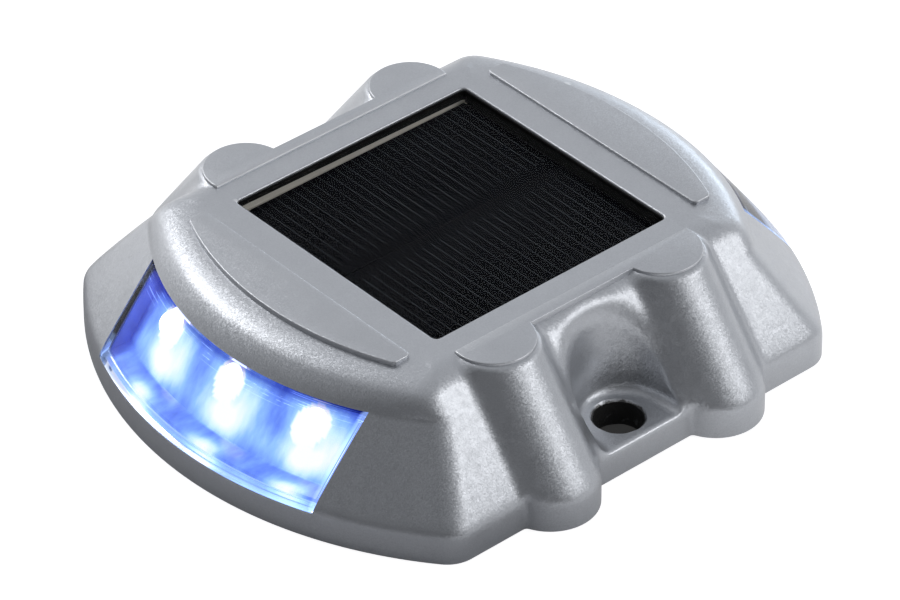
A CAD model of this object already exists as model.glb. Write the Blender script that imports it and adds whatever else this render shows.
"""Looks of a solar road stud: a cast housing, two lit lens windows, a solar panel and a push switch.

Sizes in the classes are in millimetres, in the row's frame: +Z up, -Y towards the front lens and
+X and -X towards the fixing tabs. Meshes are written in metres.
"""

import logging
import math
from collections.abc import Callable, Sequence
from dataclasses import dataclass, field
from enum import Enum

import bmesh
import bpy
import numpy as np
from mathutils import Matrix, Vector
from numpy.typing import NDArray

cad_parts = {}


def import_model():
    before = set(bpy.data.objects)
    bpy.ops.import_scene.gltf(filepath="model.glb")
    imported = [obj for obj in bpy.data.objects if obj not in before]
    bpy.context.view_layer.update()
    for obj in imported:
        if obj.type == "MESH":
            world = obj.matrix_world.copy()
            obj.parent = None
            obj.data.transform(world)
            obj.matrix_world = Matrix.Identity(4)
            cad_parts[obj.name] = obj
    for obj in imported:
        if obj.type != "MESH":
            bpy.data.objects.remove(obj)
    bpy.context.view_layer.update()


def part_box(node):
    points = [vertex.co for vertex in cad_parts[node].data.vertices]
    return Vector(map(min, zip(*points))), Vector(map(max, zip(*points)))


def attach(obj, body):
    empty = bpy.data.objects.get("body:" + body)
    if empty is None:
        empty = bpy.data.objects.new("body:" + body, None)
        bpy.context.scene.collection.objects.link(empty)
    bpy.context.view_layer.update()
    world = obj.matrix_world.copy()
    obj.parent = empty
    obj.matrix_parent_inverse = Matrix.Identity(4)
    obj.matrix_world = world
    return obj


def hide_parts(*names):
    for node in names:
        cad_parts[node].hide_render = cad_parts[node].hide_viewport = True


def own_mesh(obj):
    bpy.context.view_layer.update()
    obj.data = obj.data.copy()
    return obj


LOG = logging.getLogger("road_stud")
MM = 0.001
SIGNS = (-1, 1)
SHARP_ANGLE = math.radians(32)

Array = NDArray[np.float64]
Field = Callable[[Array], Array]
Socket = bpy.types.NodeSocket
Colour = tuple[float, float, float]
Point2 = tuple[float, float]
Point3 = tuple[float, float, float]


class Body(Enum):
    """The bodies that pieces ride on."""

    CASING = "casing"
    BUTTON = "button"


class End(Enum):
    """The two ends of the stud that carry a light unit."""

    FRONT = "front"
    REAR = "rear"

    @property
    def turn(self) -> float:
        """The turn about +Z that takes the front unit to this end, in radians."""
        return 0.0 if self is End.FRONT else math.pi


# ---- Mesh making ----


def mix(low: float, high: float, share: Array | float) -> Array | float:
    """A value between two others, at a share of the way."""
    return low + (high - low) * share


def share_of(value: Array, start: float, stop: float) -> Array:
    """How far values are from a start to a stop, held between 0 and 1."""
    return np.clip((value - start) / (stop - start), 0, 1)


def make_object(name: str, vertices: Sequence[Sequence[float]] | Array,
                faces: Sequence[Sequence[int]] | Array, turn: float = 0.0) -> bpy.types.Object:
    """Makes a mesh object from vertices in millimetres.

    Args:
        name: the object's name.
        vertices: the vertices, in millimetres.
        faces: vertex numbers of each face, anticlockwise from outside.
        turn: a turn about +Z, in radians.

    Returns:
        The object, linked to the scene.
    """
    mesh = bpy.data.meshes.new(name)
    points = np.asarray(vertices, dtype=float) * MM
    mesh.from_pydata(points.tolist(), [], faces.tolist() if isinstance(faces, np.ndarray) else faces)
    mesh.transform(Matrix.Rotation(turn, 4, "Z"))
    mesh.validate()
    made = bpy.data.objects.new(name, mesh)
    bpy.context.scene.collection.objects.link(made)
    return made


def smooth(target: bpy.types.Object, angle: float = SHARP_ANGLE) -> bpy.types.Object:
    """Shades a mesh smooth, apart from edges sharper than an angle."""
    mesh = target.data
    mesh.polygons.foreach_set("use_smooth", [True] * len(mesh.polygons))
    mesh.set_sharp_from_angle(angle=angle)
    return target


def apply_modifiers(target: bpy.types.Object) -> None:
    """Bakes an object's modifiers into its mesh."""
    bpy.context.view_layer.update()
    graph = bpy.context.evaluated_depsgraph_get()
    mesh = bpy.data.meshes.new_from_object(target.evaluated_get(graph))
    target.modifiers.clear()
    target.data = mesh


def combine(target: bpy.types.Object, tool: bpy.types.Object, operation: str) -> bpy.types.Object:
    """Joins a tool to a target or cuts it away, and removes the tool.

    Args:
        target: the closed mesh that changes.
        tool: the closed mesh that is joined or cut away.
        operation: UNION, DIFFERENCE or INTERSECT.

    Returns:
        The target.
    """
    modifier = target.modifiers.new("join", "BOOLEAN")
    modifier.operation = operation
    modifier.solver = "MANIFOLD"
    modifier.object = tool
    apply_modifiers(target)
    bpy.data.objects.remove(tool)
    return target


def ease_edges(target: bpy.types.Object, width: float, segments: int = 2,
               angle: float = 40) -> bpy.types.Object:
    """Rounds a mesh's sharp edges.

    Args:
        target: the mesh object.
        width: the bevel's width, in millimetres.
        segments: how many faces each edge turns into.
        angle: edges sharper than this many degrees are rounded.

    Returns:
        The target, shaded smooth.
    """
    modifier = target.modifiers.new("ease", "BEVEL")
    modifier.width = width * MM
    modifier.segments = segments
    modifier.limit_method = "ANGLE"
    modifier.angle_limit = math.radians(angle)
    modifier.harden_normals = False
    apply_modifiers(target)
    return smooth(target)


def loft(name: str, rings: Sequence[Array], turn: float = 0.0) -> bpy.types.Object:
    """Skins a closed solid over rings that hold the same number of points.

    Args:
        name: the object's name.
        rings: the rings, each of n points in millimetres, anticlockwise about the way they advance.
        turn: a turn about +Z, in radians.

    Returns:
        The object.
    """
    count = len(rings[0])
    faces = [list(range(count))[::-1]]
    for level in range(len(rings) - 1):
        low = level * count
        for i in range(count):
            j = (i + 1) % count
            faces.append([low + i, low + j, low + count + j, low + count + i])
    top = (len(rings) - 1) * count
    faces.append([top + i for i in range(count)])
    return make_object(name, np.vstack(rings), faces, turn)


def at_height(outline: Sequence[Point2] | Array, z: float) -> Array:
    """A flat outline as a ring at a height."""
    flat = np.asarray(outline, dtype=float)
    return np.column_stack([flat, np.full(len(flat), z)])


def inset(outline: Sequence[Point2] | Array, distance: float) -> Array:
    """An anticlockwise outline moved inwards by a distance."""
    flat = np.asarray(outline, dtype=float)
    ahead = np.roll(flat, -1, axis=0) - flat
    behind = flat - np.roll(flat, 1, axis=0)
    tangents = [v / np.linalg.norm(v, axis=1, keepdims=True) for v in (ahead, behind)]
    normals = [np.column_stack([-t[:, 1], t[:, 0]]) for t in tangents]
    middle = normals[0] + normals[1]
    middle /= np.maximum((middle * normals[0]).sum(axis=1, keepdims=True), 0.5)
    return flat + middle * distance


def eased_plate(name: str, outline: Sequence[Point2] | Array, low: float, high: float, ease: float,
                both: bool = False, steps: int = 3) -> bpy.types.Object:
    """A plate with a rounded upper edge.

    Args:
        name: the object's name.
        outline: its anticlockwise outline.
        low: its underside's height.
        high: its top's height.
        ease: the radius of the rounded edge.
        both: rounds the lower edge too.
        steps: how many bands make the rounding.

    Returns:
        The object.
    """
    angles = np.linspace(0, math.pi / 2, steps + 1)
    rims = [(inset(outline, ease * (1 - math.cos(a))), ease * (1 - math.sin(a))) for a in angles]
    top = [at_height(rim, high - drop) for rim, drop in rims]
    bottom = [at_height(rim, low + drop) for rim, drop in rims[::-1]] if both else [at_height(outline, low)]
    return loft(name, [*bottom, *top])


def circle(x: float, y: float, radius: float, sides: int = 48) -> Array:
    """An anticlockwise circle of points."""
    angles = np.arange(sides) * (2 * math.pi / sides)
    return np.column_stack([x + radius * np.cos(angles), y + radius * np.sin(angles)])


def arc(x: float, y: float, radius: float, start: float, end: float, steps: int) -> list[Point2]:
    """Points along an arc, from a start angle to an end angle in radians."""
    return [(x + radius * math.cos(a), y + radius * math.sin(a)) for a in np.linspace(start, end, steps + 1)]


def rounded_rectangle(x: float, y: float, half_x: float, half_y: float, corner: float,
                      steps: int = 5) -> list[Point2]:
    """An anticlockwise rectangle with round corners."""
    points: list[Point2] = []
    for quarter, (sx, sy) in enumerate(((1, 1), (-1, 1), (-1, -1), (1, -1))):
        start = quarter * math.pi / 2
        middle = (x + sx * (half_x - corner), y + sy * (half_y - corner))
        points += arc(*middle, corner, start, start + math.pi / 2, steps)
    return points


def filleted(corners: Sequence[Point3], steps: int = 4) -> list[Point2]:
    """Rounds the corners of an outline.

    Args:
        corners: x, y and the radius at each corner, 0 where it stays as it is.
        steps: how many pieces make each rounding.

    Returns:
        The outline's points.
    """
    points: list[Point2] = []
    for i, (x, y, radius) in enumerate(corners):
        if radius == 0:
            points.append((x, y))
            continue
        here = np.array([x, y])
        sides = [np.array(corners[(i + k) % len(corners)][:2]) - here for k in (-1, 1)]
        before, after = (side / np.linalg.norm(side) for side in sides)
        half = math.acos(float(np.clip(before @ after, -1, 1))) / 2
        reach = radius / math.tan(half)
        centre = here + (before + after) / np.linalg.norm(before + after) * radius / math.sin(half)
        first, last = here + before * reach - centre, here + after * reach - centre
        start = math.atan2(first[1], first[0])
        sweep = (math.atan2(last[1], last[0]) - start + math.pi) % (2 * math.pi) - math.pi
        points += arc(centre[0], centre[1], radius, start, start + sweep, steps)
    return points


def lathe(name: str, profile: Sequence[Point2], place: Point3, axis: Point3 = (0, 0, 1),
          sides: int = 48, turn: float = 0.0) -> bpy.types.Object:
    """A turned solid.

    Args:
        name: the object's name.
        profile: radius and height of each point, from the foot to the top, both ends off the axis.
        place: where its foot stands, in millimetres.
        axis: the way it points.
        sides: how many sides make the round.
        turn: a turn about +Z afterwards, in radians.

    Returns:
        The object, shaded smooth.
    """
    rings = [at_height(circle(0, 0, max(radius, 0.001), sides), height) for radius, height in profile]
    made = loft(name, rings)
    lean = Vector((0, 0, 1)).rotation_difference(Vector(axis)).to_matrix().to_4x4()
    made.data.transform(Matrix.Rotation(turn, 4, "Z") @ Matrix.Translation(Vector(place) * MM) @ lean)
    return smooth(made)


def smooth_route(points: Sequence[Point3], steps: int = 10) -> Array:
    """A smooth curve through points chosen by hand."""
    knots = np.asarray(points, dtype=float)
    knots = np.vstack([2 * knots[0] - knots[1], knots, 2 * knots[-1] - knots[-2]])
    route = []
    for i in range(1, len(knots) - 2):
        a, b, c, d = knots[i - 1:i + 3]
        for t in np.arange(steps) / steps:
            route.append(0.5 * (2 * b + (c - a) * t + (2 * a - 5 * b + 4 * c - d) * t ** 2
                                + (3 * b - a - 3 * c + d) * t ** 3))
    route.append(knots[-2])
    return np.array(route)


def tube(name: str, route: Array, radius: float, sides: int = 12) -> bpy.types.Object:
    """A round wire along a route, closed at both ends.

    Args:
        name: the object's name.
        route: the points that it follows.
        radius: its radius.
        sides: how many sides it has.

    Returns:
        The object, shaded smooth.
    """
    tangents = np.gradient(route, axis=0)
    tangents /= np.linalg.norm(tangents, axis=1, keepdims=True)
    side = np.cross(tangents[0], (0.3, 0.5, 0.81))
    rings = []
    angles = np.arange(sides) * (2 * math.pi / sides)
    for point, tangent in zip(route, tangents):
        side = side - tangent * (side @ tangent)
        side /= np.linalg.norm(side)
        other = np.cross(tangent, side)
        rings.append(point + radius * (np.outer(np.cos(angles), side) + np.outer(np.sin(angles), other)))
    return smooth(loft(name, rings))


def block(name: str, low: Sequence[float], high: Sequence[float], ease: float = 0.0, turn: float = 0.0,
          segments: int = 2) -> bpy.types.Object:
    """A box between two corners, with rounded edges where ease is over 0."""
    (x0, y0, z0), (x1, y1, z1) = low, high
    ring = np.array([(x0, y0), (x1, y0), (x1, y1), (x0, y1)])
    made = loft(name, [at_height(ring, z0), at_height(ring, z1)], turn)
    return ease_edges(made, ease, segments) if ease > 0 else made


def hull(name: str, points: Array) -> bpy.types.Object:
    """The convex solid around points in millimetres."""
    work = bmesh.new()
    for point in points * MM:
        work.verts.new(point)
    made = bmesh.ops.convex_hull(work, input=work.verts)
    loose = [v for v in made["geom_interior"] + made["geom_unused"] if isinstance(v, bmesh.types.BMVert)]
    bmesh.ops.delete(work, geom=list(set(loose)), context="VERTS")
    bmesh.ops.recalc_face_normals(work, faces=work.faces)
    mesh = bpy.data.meshes.new(name)
    work.to_mesh(mesh)
    work.free()
    wrapped = bpy.data.objects.new(name, mesh)
    bpy.context.scene.collection.objects.link(wrapped)
    return wrapped


def surface_net(values: Array, origin: Array, step: float) -> tuple[Array, Array]:
    """The surface where a sampled field is 0, as quads that face its positive side.

    Args:
        values: the field on a grid, positive all round its edges.
        origin: the first sample's place.
        step: the grid's spacing.

    Returns:
        The vertices and the quads.
    """
    inside = values < 0
    corners = [np.array((i, j, k)) for i in (0, 1) for j in (0, 1) for k in (0, 1)]
    size = np.array(values.shape) - 1
    count = sum(inside[i:i + size[0], j:j + size[1], k:k + size[2]].astype(np.int8) for i, j, k in corners)
    cells = np.argwhere((count > 0) & (count < len(corners)))
    number = np.full(tuple(size), -1)
    number[tuple(cells.T)] = np.arange(len(cells))
    total = np.zeros((len(cells), 3))
    hits = np.zeros(len(cells))
    for a in corners:
        for b in corners:
            if (b - a).min() < 0 or (b - a).sum() != 1:
                continue
            first, second = values[tuple((cells + a).T)], values[tuple((cells + b).T)]
            crossed = (first < 0) != (second < 0)
            share = np.where(crossed, first / np.where(crossed, first - second, 1), 0)
            total += (a + share[:, None] * (b - a)) * crossed[:, None]
            hits += crossed
    vertices = origin + (cells + total / hits[:, None]) * step
    quads = []
    for axis in range(3):
        along, u, v = (np.eye(3, dtype=int)[(axis + k) % 3] for k in range(3))
        near = inside[tuple(slice(0, n - a) for n, a in zip(values.shape, along))]
        far = inside[tuple(slice(a, n) for n, a in zip(values.shape, along))]
        crossing = np.argwhere(near != far)
        crossing = crossing[((crossing >= u + v) | (u + v == 0)).all(axis=1)]
        ring = np.stack([number[tuple((crossing - d).T)] for d in (u + v, v, 0 * u, u)], axis=1)
        outward = near[tuple(crossing.T)]
        quads.append(np.where(outward[:, None], ring, ring[:, ::-1]))
    return vertices, np.vstack(quads)


def settle(points: Array, distance: Field, reach: float, rounds: int = 4, probe: float = 0.02) -> Array:
    """Moves points onto the surface where a field is 0.

    Args:
        points: the points, near the surface.
        distance: the field.
        reach: the furthest that a point may move in one round.
        rounds: how many times each point is moved.
        probe: the step for measuring the field's slope.

    Returns:
        The moved points.
    """
    moved = points.copy()
    for _ in range(rounds):
        value = distance(moved)
        rises = [distance(moved + d) - distance(moved - d) for d in np.eye(3) * probe]
        slope = np.stack(rises, axis=1) / (2 * probe)
        step = -(value / np.maximum((slope ** 2).sum(axis=1), 0.05))[:, None] * slope
        length = np.linalg.norm(step, axis=1, keepdims=True)
        moved += step * np.minimum(1, reach / np.maximum(length, 1e-9))
    return moved


def meet(a: Array, b: Array, radius: Array | float) -> Array:
    """The field of what lies in both of two fields, with the edge between them rounded."""
    corner = np.hypot(np.maximum(a + radius, 0), np.maximum(b + radius, 0))
    return np.minimum(np.maximum(a, b), -radius) + corner


def blend_join(a: Array, b: Array, width: Array | float) -> Array:
    """The field of two fields together, with a fillet between them."""
    near = np.maximum(width - np.abs(a - b), 0) / width
    return np.minimum(a, b) - near ** 2 * width / 4


# ---- Finishes ----


class Graph:
    """A material's nodes, with short ways to add and join them."""

    def __init__(self, name: str) -> None:
        """Starts a material with one shader.

        Args:
            name: the material's name.
        """
        self.material = bpy.data.materials.new(name)
        self.material.use_nodes = True
        self.tree = self.material.node_tree
        self.shader = self.tree.nodes["Principled BSDF"]
        self.output = self.tree.nodes["Material Output"]
        self.place = self.add("ShaderNodeTexCoord").outputs["Object"]

    def add(self, kind: str, **settings: object) -> bpy.types.Node:
        """Adds a node and sets its properties."""
        node = self.tree.nodes.new(kind)
        for name, value in settings.items():
            setattr(node, name, value)
        return node

    def put(self, target: Socket, value: Socket | float | Sequence[float]) -> None:
        """Links a socket to another, or gives it a plain value."""
        if isinstance(value, bpy.types.NodeSocket):
            self.tree.links.new(value, target)
        else:
            target.default_value = value

    def set(self, **sockets: Socket | float | Sequence[float]) -> None:
        """Sets the shader's sockets, named with _ for a space."""
        for name, value in sockets.items():
            self.put(self.shader.inputs[name.replace("_", " ")], value)

    def math(self, operation: str, *values: Socket | float, clamp: bool = False) -> Socket:
        """A sum, product or other operation on numbers."""
        node = self.add("ShaderNodeMath", operation=operation, use_clamp=clamp)
        for socket, value in zip(node.inputs, values):
            self.put(socket, value)
        return node.outputs[0]

    def vector(self, operation: str, *values: Socket | Sequence[float]) -> Socket:
        """An operation on vectors."""
        node = self.add("ShaderNodeVectorMath", operation=operation)
        for socket, value in zip(node.inputs, values):
            self.put(socket, value)
        return node.outputs[0]

    def scaled(self, scale: Sequence[float]) -> Socket:
        """The place on the object, scaled along each axis."""
        return self.vector("MULTIPLY", self.place, scale)

    def axes(self) -> tuple[Socket, Socket, Socket]:
        """The place on the object as three numbers, in metres."""
        parts = self.add("ShaderNodeSeparateXYZ")
        self.put(parts.inputs[0], self.place)
        return parts.outputs[0], parts.outputs[1], parts.outputs[2]

    def noise(self, size: float, detail: float = 3, rough: float = 0.55,
              where: Socket | None = None) -> Socket:
        """Noise whose patches are about a size across, in millimetres."""
        node = self.add("ShaderNodeTexNoise")
        self.put(node.inputs["Vector"], where or self.place)
        self.put(node.inputs["Scale"], 1 / (size * MM))
        self.put(node.inputs["Detail"], detail)
        self.put(node.inputs["Roughness"], rough)
        return node.outputs["Fac"]

    def cells(self, size: float) -> bpy.types.Node:
        """A cell pattern whose cells are about a size across, in millimetres."""
        node = self.add("ShaderNodeTexVoronoi")
        self.put(node.inputs["Vector"], self.place)
        self.put(node.inputs["Scale"], 1 / (size * MM))
        return node

    def fit(self, value: Socket, low: float, high: float, new_low: float, new_high: float) -> Socket:
        """A number moved from one range to another and held inside it."""
        node = self.add("ShaderNodeMapRange")
        for socket, number in zip(node.inputs, (value, low, high, new_low, new_high)):
            self.put(socket, number)
        return node.outputs[0]

    def mottled(self, noise: Socket, low: float, high: float) -> Socket:
        """A number that follows a noise from its usual low to its usual high."""
        return self.fit(noise, 0.3, 0.7, low, high)

    def product(self, *values: Socket | float) -> Socket:
        """Several numbers multiplied together."""
        total = values[0]
        for value in values[1:]:
            total = self.math("MULTIPLY", total, value)
        return total

    def stripes(self, along: Socket, pitch: float, width: float) -> Socket:
        """1 on stripes of a pitch and width in millimetres, and 0 between them."""
        phase = self.math("FRACT", self.math("DIVIDE", along, pitch * MM))
        off_line = self.math("ABSOLUTE", self.math("SUBTRACT", phase, 0.5))
        return self.math("LESS_THAN", off_line, width / pitch / 2)

    def apart(self, x: float, y: float) -> Socket:
        """The level distance from a point in millimetres, with all four quarters alike."""
        far = self.add("ShaderNodeVectorMath", operation="DISTANCE")
        level = self.vector("MULTIPLY", self.vector("ABSOLUTE", self.place), (1, 1, 0))
        self.put(far.inputs[0], level)
        self.put(far.inputs[1], (x * MM, y * MM, 0))
        return far.outputs["Value"]

    def pointed(self, full: float, most: float) -> Socket:
        """A share of rubbed edge, which grows from where a mesh is just pointed to where it is fully so."""
        return self.fit(self.add("ShaderNodeNewGeometry").outputs["Pointiness"], 0.52, full, 0, most)

    def colours(self, share: Socket, first: Colour, second: Colour) -> Socket:
        """A colour between two others."""
        return self.overlay(share, (*first, 1), second)

    def overlay(self, share: Socket, below: Socket | Sequence[float], colour: Colour) -> Socket:
        """A colour laid over another one by a share."""
        node = self.add("ShaderNodeMix", data_type="RGBA")
        self.put(node.inputs[0], share)
        self.put(node.inputs[6], below)
        self.put(node.inputs[7], (*colour, 1))
        return node.outputs[2]

    def ramp(self, share: Socket, stops: Sequence[tuple[float, Colour]]) -> Socket:
        """A colour read from a row of stops."""
        node = self.add("ShaderNodeValToRGB")
        elements = node.color_ramp.elements
        while len(elements) < len(stops):
            elements.new(0.5)
        for element, (position, colour) in zip(elements, stops):
            element.position = position
            element.color = (*colour, 1)
        self.put(node.inputs[0], share)
        return node.outputs[0]

    def bump(self, height: Socket, depth: float, normal: Socket | None = None) -> Socket:
        """A normal bent by a height, where depth is in millimetres."""
        node = self.add("ShaderNodeBump")
        self.put(node.inputs["Height"], height)
        self.put(node.inputs["Distance"], depth * MM)
        if normal is not None:
            self.put(node.inputs["Normal"], normal)
        return node.outputs[0]

    def attribute(self, name: str) -> Socket:
        """A number kept on the mesh's vertices."""
        return self.add("ShaderNodeAttribute", attribute_name=name).outputs["Fac"]

    def lamps_pass(self) -> None:
        """Lets light from lamps through the shader, which stays whole to the eye."""
        self.clear_where(self.add("ShaderNodeLightPath").outputs["Is Shadow Ray"])

    def clear_where(self, share: Socket) -> None:
        """Mixes the shader with a perfectly clear one, by a share from 0 to 1."""
        clear = self.add("ShaderNodeBsdfTransparent")
        choose = self.add("ShaderNodeMixShader")
        self.put(choose.inputs[0], share)
        self.tree.links.new(self.shader.outputs[0], choose.inputs[1])
        self.tree.links.new(clear.outputs[0], choose.inputs[2])
        self.tree.links.new(choose.outputs[0], self.output.inputs["Surface"])


class Finish:
    """A finish whose material is made once and then shared."""

    title = "finish"

    def material(self) -> bpy.types.Material:
        """The finish's material."""
        name = f"{self.title}_{abs(hash_text(repr(self))):08x}"
        found = bpy.data.materials.get(name)
        if found is not None:
            return found
        graph = Graph(name)
        self.draw(graph)
        return graph.material

    def draw(self, graph: Graph) -> None:
        """Joins the finish's nodes.

        Args:
            graph: the nodes of a new material.
        """
        raise NotImplementedError


def hash_text(text: str) -> int:
    """A number that is the same for the same text in every run."""
    total = 7
    for letter in text:
        total = (total * 31 + ord(letter)) % 0xFFFFFFF
    return total


@dataclass(frozen=True)
class CastPaint(Finish):
    """Silver flake paint on an alloy casting."""

    title = "cast_paint"
    dark: Colour = (0.43, 0.445, 0.475)
    light: Colour = (0.55, 0.567, 0.597)
    edge: Colour = (0.86, 0.87, 0.88)
    raw: Colour = (0.055, 0.053, 0.05)
    bore: Point2 = (42.7, 4.65)  # x, radius
    soft: float = 0.1
    flake: float = 0.19
    flake_tilt: float = 0.15
    flake_share: float = 0.4
    roughness: Point2 = (0.31, 0.40)

    def draw(self, graph: Graph) -> None:
        """Lays the mottled base, the flakes, the cast skin and the worn edges."""
        mottle = graph.noise(5, detail=5, rough=0.6)
        flakes = graph.cells(self.flake)
        glint = graph.add("ShaderNodeSeparateColor")
        graph.put(glint.inputs[0], flakes.outputs["Color"])
        patches = graph.product(mottle, 1 - self.flake_share)
        specks = graph.product(glint.outputs[0], self.flake_share)
        base = graph.colours(graph.math("ADD", patches, specks), self.dark, self.light)
        painted = graph.overlay(graph.pointed(0.6, 0.55), base, self.edge)
        raw = self.raw_bore(graph)
        graph.set(Base_Color=graph.overlay(raw, painted, self.raw))
        graph.set(Metallic=0.8, Coat_Weight=0.35, Coat_Roughness=0.16)
        graph.set(Roughness=graph.mottled(graph.noise(1.4, detail=4), *self.roughness))
        tilt = graph.vector("SUBTRACT", flakes.outputs["Color"], (0.5, 0.5, 0.5))
        tilt = graph.vector("MULTIPLY", tilt, (self.flake_tilt,) * 3)
        normal = graph.add("ShaderNodeNewGeometry").outputs["Normal"]
        leaning = graph.vector("NORMALIZE", graph.vector("ADD", normal, tilt))
        skin = graph.bump(graph.noise(0.8, detail=3), 0.007, leaning)
        pits = graph.product(raw, graph.noise(0.45, detail=4))
        skin = graph.bump(pits, 0.12, skin)
        graph.set(Normal=graph.bump(graph.noise(3.2, detail=2), 0.014, skin))

    def raw_bore(self, graph: Graph) -> Socket:
        """The share of bare, dark metal, which is 1 inside the bolt holes.

        Args:
            graph: the material's nodes.

        Returns:
            The share.
        """
        x, radius = self.bore
        uneven = graph.mottled(graph.noise(1.1), -self.soft * MM, 2 * self.soft * MM)
        edge = graph.math("ADD", graph.apart(x, 0), uneven)
        return graph.fit(edge, (radius - self.soft) * MM, (radius + self.soft) * MM, 0.9, 0)


@dataclass(frozen=True)
class ClearMoulding(Finish):
    """Clear moulded plastic that lets lamps through."""

    title = "clear_moulding"
    tint: Colour = (0.97, 0.985, 1.0)
    bend: float = 1.22
    ripple: float = 0.004

    def draw(self, graph: Graph) -> None:
        """Lays clear plastic with a faint flow ripple and fine scuffs."""
        scuffs = graph.noise(0.7, detail=6, where=graph.scaled((1, 6, 1)))
        graph.set(Base_Color=graph.colours(graph.noise(6), self.tint, tuple(c * 0.985 for c in self.tint)))
        graph.set(Transmission_Weight=1.0, IOR=self.bend)
        graph.set(Roughness=graph.fit(scuffs, 0.55, 0.8, 0.015, 0.05))
        graph.set(Normal=graph.bump(graph.noise(4, detail=2), self.ripple))
        graph.lamps_pass()


@dataclass(frozen=True)
class LensMoulding(ClearMoulding):
    """The lens's clear plastic: navy under its upper edge, and lit along its lip and one side."""

    title = "lens_moulding"
    navy: Colour = (0.03, 0.04, 0.30)
    navy_z: Point2 = (18.0, 19.2)
    lip_light: Colour = (0.34, 0.52, 1.0)
    lip_z: Point2 = (5.3, 6.0)
    lip_glow: float = 0.26
    side_x: Point2 = (27.0, 27.5)
    side_glow: float = 0.6
    line: Point2 = (0.62, 0.1116)  # pitch, width
    lines_from: Point2 = (16.9, 17.3)
    lines_to: Point2 = (18.6, 19.0)

    @staticmethod
    def rising(graph: Graph, along: Socket, bounds: Point2, start: float, end: float) -> Socket:
        """A number that goes from a start to an end between two places in millimetres."""
        return graph.fit(along, bounds[0] * MM, bounds[1] * MM, start, end)

    def mould_lines(self, graph: Graph, z: Socket) -> Socket:
        """Fine lines near the lens's upper edge, broken into short runs."""
        broken = graph.fit(graph.noise(3.5, detail=3, where=graph.scaled((1, 1, 3))), 0.5, 0.62, 0, 0.8)
        starting = self.rising(graph, z, self.lines_from, 0, 1)
        stopping = self.rising(graph, z, self.lines_to, 1, 0)
        return graph.product(graph.stripes(z, *self.line), broken, starting, stopping)

    def draw(self, graph: Graph) -> None:
        """Adds the navy band, the lit lip and side and the fine mould lines to clear plastic."""
        super().draw(graph)
        x, _, z = graph.axes()
        clear = graph.colours(graph.noise(6), self.tint, self.tint)
        graph.set(Base_Color=graph.overlay(self.rising(graph, z, self.navy_z, 0, 0.9), clear, self.navy))
        lip = self.rising(graph, z, self.lip_z, self.lip_glow, 0)
        side = self.rising(graph, x, self.side_x, 0, self.side_glow)
        lit = graph.math("ADD", graph.math("MAXIMUM", lip, side), self.mould_lines(graph, z))
        graph.set(Emission_Color=(*self.lip_light, 1), Emission_Strength=lit)


@dataclass(frozen=True)
class LitPlastic(Finish):
    """Smooth plastic lit from inside, by the glow kept on its vertices."""

    title = "lit_plastic"
    stops: tuple[tuple[float, Colour], ...] = (
        (0.0, (0.008, 0.012, 0.12)),
        (0.18, (0.025, 0.05, 0.38)),
        (0.36, (0.13, 0.26, 0.84)),
        (0.54, (0.28, 0.53, 0.96)),
        (0.74, (0.62, 0.88, 0.98)),
        (1.0, (1.0, 1.0, 1.0)),
    )
    strength: float = 1.0

    def draw(self, graph: Graph) -> None:
        """Reads the glow, breaks it up with flow streaks and lights the plastic with it."""
        glow = graph.attribute("glow")
        streaks = graph.noise(2.4, detail=4, where=graph.scaled((1.6, 0.7, 0.45)))
        broken = graph.math("ADD", glow, graph.mottled(streaks, -0.05, 0.06), clamp=True)
        light = graph.ramp(broken, self.stops)
        graph.set(Base_Color=graph.colours(streaks, (0.05, 0.08, 0.32), (0.09, 0.13, 0.42)))
        graph.set(Roughness=graph.mottled(graph.noise(0.9), 0.12, 0.22))
        graph.set(Emission_Color=light, Emission_Strength=self.strength)
        graph.set(Normal=graph.bump(streaks, 0.05))


@dataclass(frozen=True)
class LitDome(Finish):
    """The glowing clear dome of a lamp."""

    title = "lit_dome"
    strength: float = 3.2

    def draw(self, graph: Graph) -> None:
        """Lights the dome white, with a faint mottle."""
        mottle = graph.noise(0.8, detail=2)
        light = graph.colours(mottle, (0.80, 0.90, 1.0), (1.0, 1.0, 1.0))
        graph.set(Base_Color=graph.colours(mottle, (0.8, 0.85, 0.92), (0.9, 0.93, 0.97)), Roughness=0.12)
        graph.set(Emission_Color=light, Emission_Strength=self.strength)
        graph.set(Normal=graph.bump(mottle, 0.01))


@dataclass(frozen=True)
class SolarSilicon(Finish):
    """Near-black silicon with thin printed lines, plain in a band through the panel's middle."""

    title = "solar_silicon"
    pitch: float = 1.9
    line: float = 0.16
    band: float = 2.6
    glint: float = 0.3
    black: Colour = (0.0010, 0.0012, 0.0018)
    grey: Colour = (0.026, 0.029, 0.032)

    def draw(self, graph: Graph) -> None:
        """Draws the lines along X, worn thin in places, on a finely grained black."""
        x, y, _ = graph.axes()
        clear = graph.math("GREATER_THAN", graph.math("ABSOLUTE", x), self.band * MM)
        worn = graph.mottled(graph.noise(7, detail=2), 0.5, 1)
        shown = graph.product(graph.stripes(y, self.pitch, self.line), clear, worn)
        grain = graph.noise(0.5, detail=3)
        base = graph.colours(grain, self.black, tuple(c * 1.7 for c in self.black))
        graph.set(Base_Color=graph.overlay(shown, base, self.grey))
        graph.set(Emission_Color=(*self.grey, 1), Emission_Strength=graph.product(shown, self.glint))
        graph.set(Roughness=graph.mottled(grain, 0.28, 0.4), Specular_IOR_Level=0.008)
        graph.set(Normal=graph.bump(grain, 0.004))


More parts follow.
